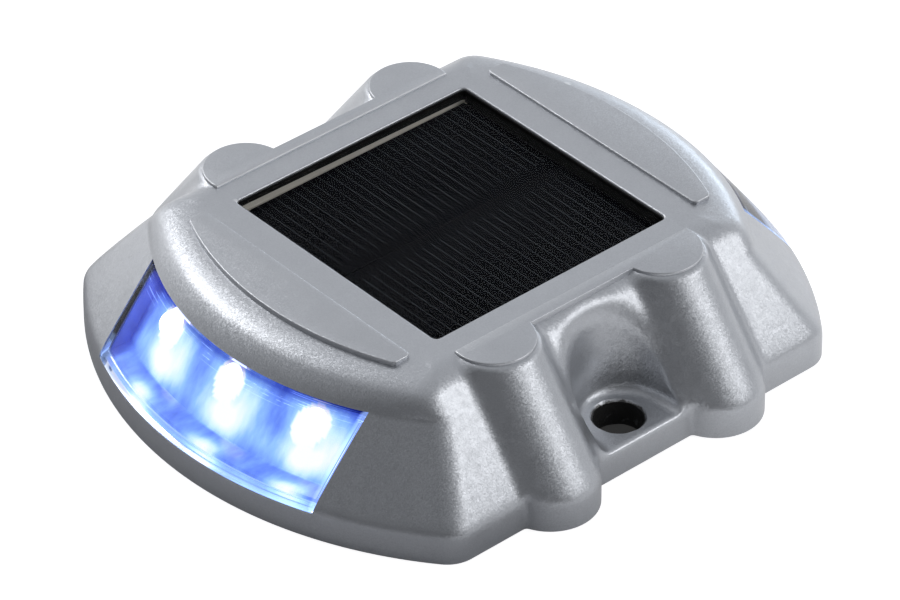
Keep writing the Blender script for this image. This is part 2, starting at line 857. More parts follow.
@dataclass(frozen=True)
class SealWithTape(Finish):
    """Black rubber round the window, with cream tape along the low part of one side."""

    title = "seal_with_tape"
    tape_x: float = -25.4
    tape_top: float = 23.05
    tape_slope: float = 0.02
    cream: Colour = (0.60, 0.56, 0.49)

    def draw(self, graph: Graph) -> None:
        """Lays grained black rubber and the tape, whose upper edge slopes a little."""
        x, y, z = graph.axes()
        grain = graph.noise(0.3, detail=3)
        slope = graph.math("ADD", z, graph.product(y, self.tape_slope))
        low = graph.math("LESS_THAN", slope, self.tape_top * MM)
        taped = graph.product(graph.math("LESS_THAN", x, self.tape_x * MM), low)
        base = graph.colours(grain, (0.004,) * 3, (0.008,) * 3)
        graph.set(Base_Color=graph.overlay(taped, base, self.cream))
        graph.set(Roughness=graph.mottled(grain, 0.5, 0.7), Specular_IOR_Level=0.1)
        graph.set(Normal=graph.bump(grain, 0.01))


@dataclass(frozen=True)
class PanelLaminate(Finish):
    """The panel's backing: black where the cells lie, and bare cream laminate along one edge."""

    title = "panel_laminate"
    bare: float = -24.95
    uneven: float = 0.1
    cream: Colour = (0.62, 0.58, 0.50)

    def draw(self, graph: Graph) -> None:
        """Lays black print up to the bare edge, which is slightly uneven."""
        x, _, _ = graph.axes()
        uneven = graph.mottled(graph.noise(1.5, detail=4), -self.uneven * MM, self.uneven * MM)
        bare = graph.math("LESS_THAN", graph.math("ADD", x, uneven), self.bare * MM)
        weave = graph.noise(0.5, detail=3)
        print_black = graph.colours(weave, (0.0012,) * 3, (0.003,) * 3)
        graph.set(Base_Color=graph.overlay(bare, print_black, self.cream))
        graph.set(Roughness=graph.mottled(weave, 0.4, 0.6), Specular_IOR_Level=0.05)
        graph.set(Normal=graph.bump(weave, 0.01))


@dataclass(frozen=True)
class Moulded(Finish):
    """Moulded or rubbery material with a fine grain."""

    title = "moulded"
    colour: Colour = (0.03, 0.03, 0.033)
    grain: float = 0.35
    depth: float = 0.02
    roughness: Point2 = (0.42, 0.58)
    worn: float = 1.6

    def draw(self, graph: Graph) -> None:
        """Lays the grained colour, paler where edges are rubbed."""
        patches = graph.noise(6, detail=4)
        paler = tuple(min(c * 1.25 + 0.004, 1) for c in self.colour)
        base = graph.colours(patches, self.colour, paler)
        rubbed = tuple(min(c * self.worn + 0.02, 1) for c in self.colour)
        graph.set(Base_Color=graph.overlay(graph.pointed(0.62, 0.5), base, rubbed))
        grain = graph.noise(self.grain, detail=3)
        graph.set(Roughness=graph.mottled(grain, *self.roughness))
        graph.set(Normal=graph.bump(grain, self.depth))


@dataclass(frozen=True)
class TurnedSteel(Finish):
    """Plated steel with fine turning marks."""

    title = "turned_steel"
    colour: Colour = (0.52, 0.52, 0.53)

    def draw(self, graph: Graph) -> None:
        """Lays bright metal with fine marks and a dull tarnish in patches."""
        marks = graph.noise(0.3, detail=4, where=graph.scaled((0.3, 0.3, 4)))
        tarnish = graph.noise(2.5, detail=5)
        graph.set(Base_Color=graph.colours(tarnish, self.colour, tuple(c * 0.7 for c in self.colour)))
        graph.set(Metallic=1.0, Roughness=graph.mottled(marks, 0.22, 0.42))
        graph.set(Normal=graph.bump(marks, 0.01))


@dataclass(frozen=True)
class BoardMask(Finish):
    """Green solder mask with tracks and pads under it."""

    title = "board_mask"

    def draw(self, graph: Graph) -> None:
        """Lays dark green, with paler tracks that run along cells and tinned dots."""
        tracks = graph.add("ShaderNodeTexVoronoi", distance="MANHATTAN", feature="DISTANCE_TO_EDGE")
        graph.put(tracks.inputs["Vector"], graph.place)
        graph.put(tracks.inputs["Scale"], 1 / (3.4 * MM))
        track = graph.fit(tracks.outputs[0], 0.05, 0.08, 1, 0)
        dots = graph.fit(graph.cells(2.1).outputs["Distance"], 0.1, 0.13, 1, 0)
        base = graph.colours(graph.noise(1.5), (0.012, 0.09, 0.035), (0.02, 0.12, 0.05))
        base = graph.overlay(graph.product(track, 0.8), base, (0.05, 0.26, 0.1))
        graph.set(Base_Color=graph.overlay(dots, base, (0.6, 0.6, 0.56)))
        graph.set(Roughness=graph.fit(dots, 0, 1, 0.38, 0.3), Normal=graph.bump(track, 0.03))


@dataclass(frozen=True)
class WireSleeve(Finish):
    """Glossy insulation of a lead, or the shrunk sleeve of a cell."""

    title = "wire_sleeve"
    colour: Colour = (0.4, 0.02, 0.015)

    def draw(self, graph: Graph) -> None:
        """Lays an even colour with soft scuffs and a slight waviness."""
        scuffs = graph.noise(1.1, detail=5)
        paler = tuple(min(c * 1.3 + 0.01, 1) for c in self.colour)
        graph.set(Base_Color=graph.colours(scuffs, self.colour, paler))
        graph.set(Roughness=graph.mottled(scuffs, 0.25, 0.45), Normal=graph.bump(graph.noise(2), 0.02))


RUBBER = Moulded(colour=(0.014, 0.014, 0.015), grain=0.25, roughness=(0.6, 0.8), worn=2.2)
BLACK_PLASTIC = Moulded()
RED_CAP = Moulded(colour=(0.28, 0.012, 0.010), roughness=(0.5, 0.65))
BLACK_CHIP = Moulded(colour=(0.016, 0.016, 0.018), grain=0.15, depth=0.01)
BRIGHT_CAN = TurnedSteel(colour=(0.70, 0.71, 0.73))
STEEL = TurnedSteel()
BLUE_SLEEVE = WireSleeve(colour=(0.03, 0.12, 0.40))


def finish_piece(piece: bpy.types.Object, finish: Finish, slot: str, body: Body,
                 *nodes: str) -> bpy.types.Object:
    """Gives a piece its material, its body, its slot and the nodes that it stands for.

    Args:
        piece: the piece.
        finish: what it is made of.
        slot: the record's material slot.
        body: the body that it rides on.
        nodes: the CAD nodes that it replaces.

    Returns:
        The piece.
    """
    piece.data.materials.clear()
    piece.data.materials.append(finish.material())
    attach(piece, body.value)
    if nodes:
        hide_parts(*nodes)
    LOG.info("%s: %d faces", piece.name, len(piece.data.polygons))
    return piece


def node_box(node: str) -> tuple[Vector, Vector]:
    """The lowest and highest corners of a CAD node, in millimetres."""
    low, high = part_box(node)
    return low / MM, high / MM


# ---- The casting ----


@dataclass(frozen=True)
class CastingForm:
    """The outside of the casting, as outlines that change with height."""

    top: float = 25.2
    skirt: float = 5.6
    lens_top: float = 19.8
    reaches: Point2 = (60.6, 49.9)  # skirt, lens's upper edge
    radii: Point3 = (74.0, 57.4, 65.4)  # skirt, lens's upper edge, top
    corners: Point3 = (6.0, 5.0, 4.0)  # skirt, lens's upper edge, top
    sides: Point2 = (49.5, 33.7)  # skirt, top
    crown: float = 0.4
    roll: float = 15.5
    crease: float = 0.9
    lobe_y: float = 18.8
    lobe_x: Point2 = (46.4, 32.1)  # skirt, top
    lobe_r: Point2 = (8.6, 7.9)  # skirt, top
    scoop_x: Point2 = (44.2, 48.6)  # floor, top
    scoop_r: Point2 = (8.0, 13.3)  # floor, top
    scoop_top: float = 26.2
    scoop_flare: float = math.radians(10.5)
    lobe_fillet: Point2 = (0.6, 1.9)  # at the skirt, above it
    top_edge: Point2 = (2.4, 0.7)  # on the walls, on the lobes
    scoop_foot: float = 1.6
    scoop_edge: Point2 = (0.5, 1.9)  # at the skirt, above it

    @property
    def slope(self) -> float:
        """How far the end walls come in for each millimetre of height."""
        return (self.reaches[0] - self.reaches[1]) / (self.lens_top - self.skirt)

    def above_skirt(self, z: Array) -> Array:
        """The height over the skirt, eased in through its crease."""
        rise = z - self.skirt
        return 0.5 * (rise + np.sqrt(rise ** 2 + self.crease ** 2))

    def reach(self, rise: Array) -> Array:
        """How far an end wall reaches along Y: straight, then rolled over."""
        tilt = math.atan(self.slope)
        centre = (self.reaches[1] - self.roll * math.cos(tilt), self.lens_top - self.roll * math.sin(tilt))
        z = np.minimum(self.skirt + rise, centre[1] + self.roll * 0.985)
        rolled = centre[0] + np.sqrt(np.maximum(self.roll ** 2 - (z - centre[1]) ** 2, 0))
        return np.where(z < self.lens_top, self.reaches[0] - self.slope * rise, rolled)

    def between(self, rise: Array, sizes: Point3) -> Array:
        """A size between its values at the skirt, at the lens's upper edge and at the top."""
        return np.interp(rise, (0, self.lens_top - self.skirt, self.top - self.skirt), sizes)

    def outline(self, p: Array) -> Array:
        """How far points lie outside the level outline at their own height."""
        x, y = np.abs(p[:, 0]), np.abs(p[:, 1])
        rise = self.above_skirt(p[:, 2])
        radius, corner = self.between(rise, self.radii), self.between(rise, self.corners)
        share = rise / (self.top - self.skirt)
        side = mix(*self.sides, share) + 4 * self.crown * share * (1 - np.clip(share, 0, 1))
        arc_y = self.reach(rise) - radius
        corner_x = side - corner
        corner_y = arc_y + np.sqrt(np.maximum((radius - corner) ** 2 - corner_x ** 2, 1))
        join = np.arctan2(corner_y - arc_y, corner_x)
        angle = np.arctan2(y - corner_y, x - corner_x)
        in_corner = (angle > 0) & (angle < join)
        plain = np.maximum(x - side, np.hypot(x, y - arc_y) - radius)
        return np.where(in_corner, np.hypot(x - corner_x, y - corner_y) - corner, plain)

    def lobe(self, p: Array) -> Array:
        """How far points lie outside the slanted lobes beside each tab."""
        share = self.above_skirt(p[:, 2]) / (self.top - self.skirt)
        x, y = np.abs(p[:, 0]) - mix(*self.lobe_x, share), np.abs(p[:, 1]) - self.lobe_y
        return np.hypot(x, y) - mix(*self.lobe_r, share)

    def scoop(self, p: Array) -> Array:
        """How far points lie outside the space over each tab."""
        share = (p[:, 2] - self.skirt) / (self.scoop_top - self.skirt)
        x, y = np.abs(p[:, 0]) - mix(*self.scoop_x, share), np.abs(p[:, 1])
        radius = mix(*self.scoop_r, share)
        flare = self.scoop_flare * (1 - np.clip(share, 0, 1))
        beyond = x * np.cos(flare) + y * np.sin(flare) > 0
        return np.where(beyond, -x * np.sin(flare) + y * np.cos(flare) - radius, np.hypot(x, y) - radius)

    @staticmethod
    def leaning(section: Field, p: Array) -> Array:
        """A level section's field as a true distance, which is shorter where the wall leans."""
        probe = np.array((0, 0, 0.1))
        rise = (section(p + probe) - section(p - probe)) / (2 * probe[2])
        return section(p) / np.sqrt(1 + rise ** 2)

    def distance(self, p: Array) -> Array:
        """The whole outside: walls and lobes under the top face, less the scoops."""
        walls, lobes = self.leaning(self.outline, p), self.leaning(self.lobe, p)
        rise = p[:, 2] - self.skirt
        near_lobe = share_of(walls - lobes, -1.5, 1.5)
        fillet = mix(*self.lobe_fillet, share_of(rise, -0.8, 1.2))
        body = meet(blend_join(walls, lobes, fillet), p[:, 2] - self.top, mix(*self.top_edge, near_lobe))
        space = meet(self.leaning(self.scoop, p), -rise, self.scoop_foot)
        return meet(body, -space, mix(*self.scoop_edge, share_of(rise, 0.6, 3.6)))

    def end_face(self, x: Array, z: Array) -> Array:
        """The end wall's Y at points of its face, on the -Y end."""
        rise = self.above_skirt(z)
        radius = self.between(rise, self.radii)
        return -(self.reach(rise) - radius + np.sqrt(radius ** 2 - x ** 2))


@dataclass
class Casting:
    """The housing: a cast shell with pads, a window, lens openings, bolt holes and a hollow."""

    form: CastingForm = field(default_factory=CastingForm)
    half_wide: float = 55.0
    step: float = 0.5
    pad_rise: float = 0.5
    pad_ease: float = 0.22
    pad_corners: Point2 = (0.9, 1.1)  # near the window, near the end
    end_pad: tuple[float, float, float, float] = (32.0, 26.7, 41.4, 65.0)  # inner, half width, reach, bend
    side_pad: Point3 = (30.8, 33.3, 7.4)  # inner edge, outer edge, end's radius
    window: float = 26.0
    window_ease: float = 0.36
    lens_half: float = 28.2
    lens_sill: float = 5.02
    hole: Point2 = (42.7, 4.4)  # x, radius
    deck: float = 23.0
    wall: float = 3.2
    shelf: float = 5.0
    cavity_side: float = 32.6
    cover_rim: float = 2.2
    cover_side: float = 35.2
    ledge: float = 3.4
    boss: tuple[float, float, float, float] = (29.5, 32.0, 3.4, 1.6)  # x, y, radius, bore
    boss_deep: float = 11.0

    def skin(self) -> bpy.types.Object:
        """The casting's outside as a fine closed mesh, which runs on below the road surface."""
        step = self.step * 1
        below, margin = 1.6, 1.5
        x, y = self.half_wide + margin, self.form.reaches[0] + margin
        low, high = np.array((-x, -y, -below)), np.array((x, y, self.form.top + margin))
        counts = np.ceil((high - low) / step).astype(int) + 1
        axes = [low[k] + step * np.arange(counts[k]) for k in range(3)]
        grid = np.stack(np.meshgrid(*axes, indexing="ij"), axis=-1).reshape(-1, 3)

        def closed(p: Array) -> Array:
            """The outside, with a flat foot below the road surface."""
            return np.maximum(self.form.distance(p), 1 - below - p[:, 2])

        values = closed(grid).reshape(counts)
        vertices, quads = surface_net(values, low, step)
        upper = vertices[:, 2] > 0.7 - below
        vertices[upper] = settle(vertices[upper], self.form.distance, step / 2)
        return make_object("housing_paint", vertices, quads)

    def end_pad_outline(self, sy: int) -> list[Point2]:
        """A raised pad between the window and an end wall."""
        inner, half, reach, radius = self.end_pad
        swing = math.asin(half / radius)
        edge = arc(0, radius - reach, radius, -math.pi / 2 - swing, -math.pi / 2 + swing, 28)
        near, far = self.pad_corners
        ends = [(half, -inner, near), (-half, -inner, near)]
        corners = [*ends, (*edge[0], far), *((x, y, 0) for x, y in edge[2:-2]), (*edge[-1], far)]
        return [(x, y) if sy < 0 else (-x, -y) for x, y in filleted(corners)]

    def side_pad_outline(self, sx: int) -> list[Point2]:
        """A raised strip beside the window, with a round end on each lobe."""
        inner, outer, radius = self.side_pad
        lobe_x, lobe_y = self.form.lobe_x[1], self.form.lobe_y
        near, far = math.acos((inner - lobe_x) / radius), math.acos((outer - lobe_x) / radius)
        low = arc(lobe_x, -lobe_y, radius, -near, far, 26)
        high = arc(lobe_x, lobe_y, radius, -far, near, 26)
        points = [*low, *high]
        return points if sx > 0 else [(-x, y) for x, y in points[::-1]]

    def pads(self) -> list[bpy.types.Object]:
        """The four raised pads, sunk a little into the top face."""
        low, high = self.form.top - 1, self.form.top + self.pad_rise
        outlines = [self.end_pad_outline(s) for s in SIGNS] + [self.side_pad_outline(s) for s in SIGNS]
        return [eased_plate("pad", outline, low, high, self.pad_ease) for outline in outlines]

    @staticmethod
    def barrel(reach: float, radius: float, side: float, corner: float, z: float, steps: int = 14) -> Array:
        """A level outline with curved ends, straight sides and round corners."""
        arc_y = radius - reach
        corner_x = side - corner
        corner_y = arc_y - math.sqrt((radius - corner) ** 2 - corner_x ** 2)
        join = math.atan2(corner_y - arc_y, corner_x)
        half = [*arc(0, arc_y, radius, -math.pi - join, join, steps * 2)]
        half += arc(corner_x, corner_y, corner, join, 0, steps // 3)
        return at_height([*half, *((-x, -y) for x, y in half)], z)

    def hollow(self) -> bpy.types.Object:
        """The space inside the casting and the recess that takes the base cover."""
        form = self.form
        levels = np.array([form.skirt, form.lens_top, *np.linspace(form.lens_top + 0.8, self.deck, 4)])
        rings = []
        for z in levels:
            rise = np.array([z - form.skirt])
            reach = float(form.reach(rise)[0]) - self.wall
            radius, corner = (float(form.between(rise, sizes)[0]) for sizes in (form.radii, form.corners))
            rings.append(self.barrel(reach, radius, self.cavity_side, corner, z))
        upper = hull("hollow", np.vstack(rings))
        for inward, side, top in ((self.shelf, self.cavity_side, form.skirt + 0.1),
                                  (self.cover_rim, self.cover_side, self.ledge)):
            reach, radius = form.reaches[0] - inward, form.radii[0] - inward
            well = hull("well", np.vstack([self.barrel(reach, radius, side, 4, z) for z in (-3, top)]))
            combine(upper, well, "UNION")
        return upper

    def window_tool(self) -> bpy.types.Object:
        """The cutter for the window, which eases its upper edge."""
        top, ease = self.form.top, self.window_ease
        angles = np.linspace(0, math.pi / 2, 5)
        rounding = [(top - ease + ease * math.sin(a), ease - ease * math.cos(a)) for a in angles]
        levels = [(self.deck - 1, 0), *rounding, (top + 1, ease + 0.2)]
        rings = [at_height(rounded_rectangle(0, 0, self.window + out, self.window + out, 1 + out), z)
                 for z, out in levels]
        return loft("window", rings)

    def bolt_tool(self, sx: int) -> bpy.types.Object:
        """The cutter for a bolt hole, with an eased mouth and a slightly uneven cast wall."""
        (x, radius), seat, sides = self.hole, self.form.skirt, 72
        heights = [-3, -0.01, 0.35, 1.6, 2.9, 4.2, seat - 0.45, seat + 0.02, seat + 1]
        widths = [0.05, 0.02, 0, 0.07, -0.03, 0.05, 0, 0.42, 1.3]
        angles = np.arange(sides) * (2 * math.pi / sides)
        rings = []
        for level, (z, wide) in enumerate(zip(heights, widths)):
            uneven = 0.05 * np.sin(angles * 5 + level * 1.7) + 0.03 * np.sin(angles * 11 + level)
            r = radius + wide + uneven
            rings.append(at_height(np.column_stack([sx * x + r * np.cos(angles), r * np.sin(angles)]), z))
        return loft("bolt", rings)

    def post_and_bore(self, housing: bpy.types.Object, x: float, y: float) -> None:
        """Adds a screw post under the deck, with its hole.

        Args:
            housing: the casting so far.
            x: the post's place along X.
            y: its place along Y.
        """
        _, _, radius, bore = self.boss
        post = loft("boss", [at_height(circle(x, y, radius), z) for z in (self.ledge, self.deck + 1)])
        combine(housing, post, "UNION")
        drill = loft("drill", [at_height(circle(x, y, bore, 24), z) for z in (0, self.boss_deep)])
        combine(housing, drill, "DIFFERENCE")

    def build(self) -> bpy.types.Object:
        """Makes the housing from its skin, pads and cutters."""
        housing = self.skin()
        for pad in self.pads():
            combine(housing, pad, "UNION")
        combine(housing, self.hollow(), "DIFFERENCE")
        x, y = self.boss[:2]
        for sx in SIGNS:
            for sy in SIGNS:
                self.post_and_bore(housing, sx * x, sy * y)
        combine(housing, block("foot", (-80, -80, -6), (80, 80, 0)), "DIFFERENCE")
        combine(housing, self.window_tool(), "DIFFERENCE")
        for s in SIGNS:
            combine(housing, self.bolt_tool(s), "DIFFERENCE")
            ys = sorted((s * 35, s * 66))
            opening = block("opening", (-self.lens_half, ys[0], self.lens_sill),
                            (self.lens_half, ys[1], self.form.lens_top))
            combine(housing, opening, "DIFFERENCE")
        smooth(housing)
        return finish_piece(housing, CastPaint(), "cast_paint", Body.CASING, "housing")


# ---- Light units ----


@dataclass(frozen=True)
class GlowPatch:
    """A soft patch of light beside a lamp."""

    strength: float
    centre: Point2
    spread: Point2

    def at(self, u: Array, v: Array) -> Array:
        """The patch's brightness at points."""
        (u0, v0), (du, dv) = self.centre, self.spread
        return self.strength * np.exp(-((u - u0) / du) ** 2 - ((v - v0) / dv) ** 2)


@dataclass
class LightUnit:
    """One end's lens, seal, lit tray, lamp board and three lamps, made at -Y and turned."""

    end: End
    form: CastingForm = field(default_factory=CastingForm)
    lens_half: float = 27.9
    lens_low: float = 5.1
    lens_high: float = 19.5
    skin: float = 2.0
    rim: float = 0.5
    depth: float = 5.9
    flange: tuple[float, float, float, float] = (4.3, 5.9, 29.8, 20.6)  # front, back, half width, upper edge
    flange_up: float = 1.5
    gasket: Point2 = (3.5, 4.2)  # front, back
    tray_back: float = 6.2
    tray_sheet: float = 0.8
    tray_wall: float = 0.5
    lamp_pitch: float = 18.0
    lamp_z: float = 13.0
    lamp_r: float = 2.5
    middle_tip: float = 50.5
    glow_even: float = 0.34
    glow_ripple: float = 0.03
    side_dark: Point3 = (24.0, 27.0, 0.24)  # from, to, how much
    top_dark: Point3 = (16.5, 19.0, 0.14)  # from, to, how much
    low_band: Point3 = (8.4, 2.0, 0.14)  # height, spread, how much
    tray_floor: Point2 = (6.4, 7.4)
    back_patches: tuple[GlowPatch, ...] = (
        GlowPatch(0.46, (0.0, 13.0), (math.sqrt(14), math.sqrt(14))),
        GlowPatch(0.56, (1.8, 8.4), (3.6, 2.4)),
        GlowPatch(0.40, (5.8, 11.4), (3.0, 3.2)),
    )
    floor_patch: GlowPatch = GlowPatch(0.64, (3.4, 2.3), (3.3, 1.7))

    @property
    def lamp_xs(self) -> Point3:
        """Where the lamps stand along X."""
        return (-self.lamp_pitch, 0.0, self.lamp_pitch)

    def slice_of_end(self, name: str, setbacks: tuple[float, float], half: float, low: float, high: float,
                     columns: int = 56, rows: int = 14) -> bpy.types.Object:
        """A curved slab between two set-backs of the end wall.

        Args:
            name: the object's name.
            setbacks: how far behind the wall's face its front and back lie, along Y.
            half: half its width.
            low: its lower edge.
            high: its upper edge.
            columns: how many columns of faces it has.
            rows: how many rows.

        Returns:
            The object.
        """
        xs, zs = np.linspace(-half, half, columns + 1), np.linspace(low, high, rows + 1)
        grid_x, grid_z = (g.ravel() for g in np.meshgrid(xs, zs, indexing="ij"))
        sheets = []
        for setback in setbacks:
            sheets.append(np.column_stack([grid_x, self.form.end_face(grid_x, grid_z) + setback, grid_z]))
        across = rows + 1
        count = len(grid_x)
        faces: list[list[int]] = []
        for i in range(columns):
            for j in range(rows):
                a, b = i * across + j, (i + 1) * across + j
                faces.append([a, b, b + 1, a + 1])
                faces.append([count + a + 1, count + b + 1, count + b, count + a])
        loop = [i * across for i in range(columns + 1)]
        loop += [columns * across + j for j in range(1, across)]
        loop += [i * across + rows for i in range(columns - 1, -1, -1)]
        loop += [j for j in range(rows - 1, 0, -1)]
        for a, b in zip(loop, loop[1:] + loop[:1]):
            faces.append([b, a, count + a, count + b])
        return make_object(name, np.vstack(sheets), faces, self.end.turn)

    def lens(self) -> bpy.types.Object:
        """The clear cover: a curved face with a thin rim that runs back to a flange."""
        name = f"{self.end.value}_lens_clear"
        cup = self.slice_of_end(name, (0.05, self.depth), self.lens_half, self.lens_low, self.lens_high)
        inside = self.slice_of_end("inside", (self.skin, self.depth + 2), self.lens_half - self.rim,
                                   self.lens_low + self.rim, self.lens_high - self.rim)
        front, back, half, high = self.flange
        flange = self.slice_of_end("flange", (front, back), half, self.lens_low + self.flange_up, high)
        combine(combine(cup, flange, "UNION"), inside, "DIFFERENCE")
        ease_edges(cup, 0.18, 2)
        return finish_piece(cup, LensMoulding(), "lens_clear", Body.CASING, f"{self.end.value}_lens")

    def seal(self) -> bpy.types.Object:
        """The gasket between the end wall and the lens's flange."""
        name = f"{self.end.value}_seal_ring"
        _, _, half, high = self.flange
        ring = self.slice_of_end(name, self.gasket, half, self.lens_low + self.flange_up, high)
        gap = self.slice_of_end("gap", (2, 6), Casting.lens_half, 0, self.form.lens_top)
        combine(ring, gap, "DIFFERENCE")
        smooth(ring)
        return finish_piece(ring, RUBBER, "seal_rubber", Body.CASING, f"{self.end.value}_lens_seal")

    def glow(self, p: Array) -> Array:
        """How brightly points of the tray are lit, from 0 to 1.

        Args:
            p: points in millimetres, at the -Y end.

        Returns:
            A share for each point.
        """
        x, z = p[:, 0], p[:, 2]
        behind = p[:, 1] - self.form.end_face(x, np.clip(z, self.lens_low, self.lens_high))
        floor = (1 - share_of(z, *self.tray_floor)) * (behind < self.tray_back - 0.3)
        (side_from, side_to, side_less), (top_from, top_to, top_less) = self.side_dark, self.top_dark
        side = share_of(np.abs(x), side_from, side_to)
        height, spread, more = self.low_band
        lit = self.glow_even + self.glow_ripple * np.sin(x * 0.9 + z * 0.5)
        lit -= side_less * side + top_less * share_of(z, top_from, top_to)
        lit += more * np.exp(-((z - height) / spread) ** 2) * (1 - floor) * (1 - side)
        for lamp in self.lamp_xs:
            dx = x - lamp
            back = sum(patch.at(dx, z) for patch in self.back_patches)
            back += 1.0 * (np.hypot(dx, z - self.lamp_z) < self.lamp_r + 0.6)
            lit += back * (1 - floor) + self.floor_patch.at(dx, behind) * floor
        return np.clip(lit, 0.02, 1.05)

    def lamp_tool(self, x: float, radius: float) -> bpy.types.Object:
        """A long rod along a lamp's line, at the -Y end."""
        return lathe("rod", [(radius, 0), (radius, 30)], (x, -38, self.lamp_z), (0, -1, 0))

    def tray(self) -> bpy.types.Object:
        """The lit tray behind the lens: a curved back with three holes, and a wall all round."""
        name = f"{self.end.value}_tray"
        straight, size, wall = LightUnit(End.FRONT), (110, 30), self.tray_wall
        margin = self.rim + 0.1
        half, low, high = self.lens_half - margin, self.lens_low + margin, self.lens_high - margin
        sheet = (self.skin + 0.15, self.tray_back + self.tray_sheet)
        outer = straight.slice_of_end(name, sheet, half, low, high, *size)
        space = (self.skin - wall, self.tray_back)
        inner = straight.slice_of_end("inner", space, half - wall, low + wall, high - wall, *size)
        combine(outer, inner, "DIFFERENCE")
        front, bore = self.tray_back + self.tray_sheet / 2, self.lamp_r + 0.05
        for x in self.lamp_xs:
            heights = (self.lamp_z - 5, self.lamp_z + 5)
            collar = straight.slice_of_end("collar", (front, front + 4), half, *heights)
            post = self.lamp_tool(x, bore + 0.45)
            combine(outer, combine(collar, post, "INTERSECT"), "UNION")
        for x in self.lamp_xs:
            combine(outer, self.lamp_tool(x, bore), "DIFFERENCE")
        self.refine(outer, 0.9)
        mesh = outer.data
        points = np.empty(len(mesh.vertices) * 3)
        mesh.vertices.foreach_get("co", points)
        shares = self.glow(points.reshape(-1, 3) / MM)
        glow = mesh.attributes.new("glow", "FLOAT", "POINT")
        glow.data.foreach_set("value", shares.astype(np.float32))
        mesh.transform(Matrix.Rotation(self.end.turn, 4, "Z"))
        smooth(outer)
        return finish_piece(outer, LitPlastic(), "reflector", Body.CASING, f"{self.end.value}_reflector")

    @staticmethod
    def refine(target: bpy.types.Object, longest: float) -> None:
        """Turns a mesh into triangles and splits its edges that are over a length in millimetres."""
        work = bmesh.new()
        work.from_mesh(target.data)
        bmesh.ops.triangulate(work, faces=work.faces)
        for _ in range(5):
            long_edges = [e for e in work.edges if e.calc_length() > longest * MM]
            if not long_edges:
                break
            bmesh.ops.subdivide_edges(work, edges=long_edges, cuts=1)
            bmesh.ops.triangulate(work, faces=[f for f in work.faces if len(f.verts) > 3])
        work.to_mesh(target.data)
        work.free()

    def board(self) -> bpy.types.Object:
        """The lamps' circuit board."""
        name = f"{self.end.value}_led_board"
        low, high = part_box(name)
        made = block(f"{self.end.value}_lamp_board", low / MM, high / MM, 0.15)
        return finish_piece(made, BoardMask(), "circuit_board", Body.CASING, name)

    def lamps(self) -> list[bpy.types.Object]:
        """The three domed lamps."""
        pieces = []
        for i, x in enumerate(self.lamp_xs, start=1):
            node = f"{self.end.value}_led_{i}"
            low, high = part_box(node)
            tip = max(abs(low.y), abs(high.y)) / MM
            tip = max(tip, self.middle_tip) if x == 0 else tip
            foot = min(abs(low.y), abs(high.y)) / MM
            long, r = tip - foot, self.lamp_r
            dome = [(r * math.cos(a), long - r + r * math.sin(a)) for a in np.linspace(0, math.pi / 2, 9)]
            profile = [(r + 0.3, 0), (r + 0.4, 0.1), (r + 0.4, 0.9), (r + 0.3, 1.0), (r, 1.05), *dome]
            place = (x, -foot, self.lamp_z)
            made = lathe(f"{self.end.value}_lamp_{i}", profile, place, (0, -1, 0), 40, self.end.turn)
            pieces.append(finish_piece(made, LitDome(), "led", Body.CASING, node))
        return pieces

    def build(self) -> None:
        """Makes the whole unit."""
        self.lens()
        self.seal()
        self.tray()
        self.board()
        self.lamps()


# ---- Solar panel ----


@dataclass
class SolarWindow:
    """The panel under the top face: backing, two half cells, seal and clear plate."""

    lip: Point3 = (25.72, 25.98, 24.72)  # inside, outside, top
    half_gap: float = 0.02

    def plate(self, name: str, node: str, corner: float, ease: float, finish: Finish,
              slot: str) -> bpy.types.Object:
        """A square plate with eased edges in the place of a node, whose halves meet in the middle."""
        low, high = node_box(node)
        if abs(low.x) < 1:
            low.x = self.half_gap
        if abs(high.x) < 1:
            high.x = -self.half_gap
        outline = rounded_rectangle((low.x + high.x) / 2, (low.y + high.y) / 2,
                                    (high.x - low.x) / 2, (high.y - low.y) / 2, corner)
        made = smooth(eased_plate(name, outline, low.z, high.z, ease, both=True))
        return finish_piece(made, finish, slot, Body.CASING, node)

    def seal(self) -> bpy.types.Object:
        """The flat seal between the panel and the deck."""
        low, high = node_box("panel_seal")
        inside, outside, lip_top = self.lip
        flat = rounded_rectangle(0, 0, high.x, high.y, 0.6)
        outer = eased_plate("panel_gasket", flat, low.z, high.z, 0.12, both=True)
        lip = rounded_rectangle(0, 0, outside, outside, 0.95)
        combine(outer, eased_plate("lip", lip, low.z, lip_top, 0.1), "UNION")
        hole = rounded_rectangle(0, 0, inside, inside, 0.7)
        gap = loft("gap", [at_height(hole, z) for z in (low.z - 1, lip_top + 1)])
        combine(outer, gap, "DIFFERENCE")
        smooth(outer)
        return finish_piece(outer, SealWithTape(), "seal_rubber", Body.CASING, "panel_seal")

    def build(self) -> None:
        """Makes the panel's pieces."""
        self.plate("panel_backing", "panel_board", 0.5, 0.2, PanelLaminate(), "panel_backing")
        for side in ("left", "right"):
            self.plate(f"half_cell_{side}", f"solar_cell_{side}", 0.15, 0.06, SolarSilicon(), "solar_cell")
        self.seal()
        clear = ClearMoulding(bend=1.06, ripple=0.001)
        self.plate("window_clear", "window_plate", 0.8, 0.25, clear, "window_clear")


# ---- Base cover ----


